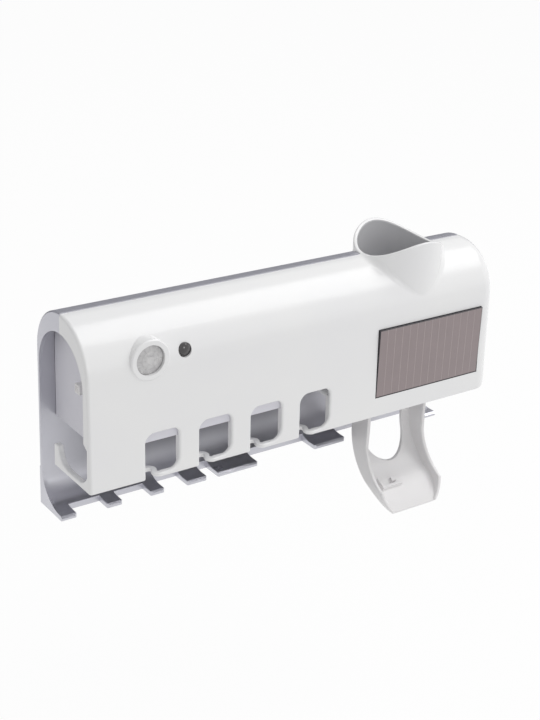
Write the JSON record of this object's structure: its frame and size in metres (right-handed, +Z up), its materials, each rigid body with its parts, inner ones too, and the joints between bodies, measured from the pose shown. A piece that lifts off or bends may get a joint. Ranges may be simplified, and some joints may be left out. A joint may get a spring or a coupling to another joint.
{
  "type": "toothpaste dispenser",
  "caption": "Wall-mounted toothpaste dispenser with a tube collar, a push lever that squeezes paste, and a lit toothbrush rack with a small solar panel.",
  "frame": {"origin": "on the wall face, midway along the length and 60 mm above the lower edge of the wall base", "axes": "+X along the length towards the tube collar's end, +Y into the wall, +Z up"},
  "size_m": [0.28, 0.0654, 0.1712],
  "materials": {
    "silver_plated_plastic": "satin plating",
    "white_plastic": "gloss",
    "grey_plastic": "satin",
    "dark_plastic": "gloss",
    "panel_cells": "clear cover over striped cells",
    "milky_plastic": "translucent",
    "clear_red_plastic": "clear tinted",
    "circuit_board": "solder mask",
    "quartz": "polished",
    "lamp_resin": "gloss",
    "cell_sleeve": "shrink sleeve",
    "steel": "zinc plated",
    "black_rubber": "matt",
    "clear_silicone": "satin"
  },
  "bodies": {
    "housing": {"wall_base": "silver_plated_plastic", "front_cover": "white_plastic", "solar_panel": "panel_cells", "panel_gasket": "dark_plastic", "pir_lens": "milky_plastic", "pir_sensor": "steel", "indicator_bezel": "dark_plastic", "indicator_led": "clear_red_plastic", "sensor_board": "circuit_board", "sensor_screws": "steel", "electronics_box": "grey_plastic", "lamp_tray": "grey_plastic", "uv_window": "quartz", "uv_strip": "circuit_board", "uv_leds": "lamp_resin", "battery_cradle": "dark_plastic", "battery_cell": "cell_sleeve", "main_board": "circuit_board", "board_screws": "steel", "switch_body": "dark_plastic", "tube_seat": "grey_plastic", "tube_seal": "clear_silicone", "inlet_valve": "clear_silicone", "pump_housing": "grey_plastic", "outlet_nozzle": "white_plastic", "plunger_cap": "grey_plastic", "plunger_spring": "steel", "pump_bellows": "clear_silicone", "lever_pins": "steel", "cover_screws": "steel", "pump_screws": "steel"},
    "lever": {"push_lever": "white_plastic"},
    "plunger": {"pump_plunger": "white_plastic"},
    "switch": {"switch_knob": "white_plastic"}
  },
  "joints": [
    {"name": "lever_swing", "type": "hinge", "parent": "housing", "child": "lever", "pos_m": [0.082, -0.034, -0.02], "axis": [1, 0, 0], "range_deg": [0, 16], "stiffness_Nm_per_rad": 0.35, "springref_deg": -2.86},
    {"name": "plunger_slide", "type": "slide", "parent": "housing", "child": "plunger", "axis": [0, 0, 1], "range_m": [0, 0.0044], "deforming": ["plunger_spring", "pump_bellows"]},
    {"name": "switch_slide", "type": "slide", "parent": "housing", "child": "switch", "axis": [0, 0, 1], "range_m": [0, 0.0025]}
  ],
  "couplings": [
    {"joint": "plunger_slide", "follows": "lever_swing", "m_per_rad": 0.0153}
  ]
}
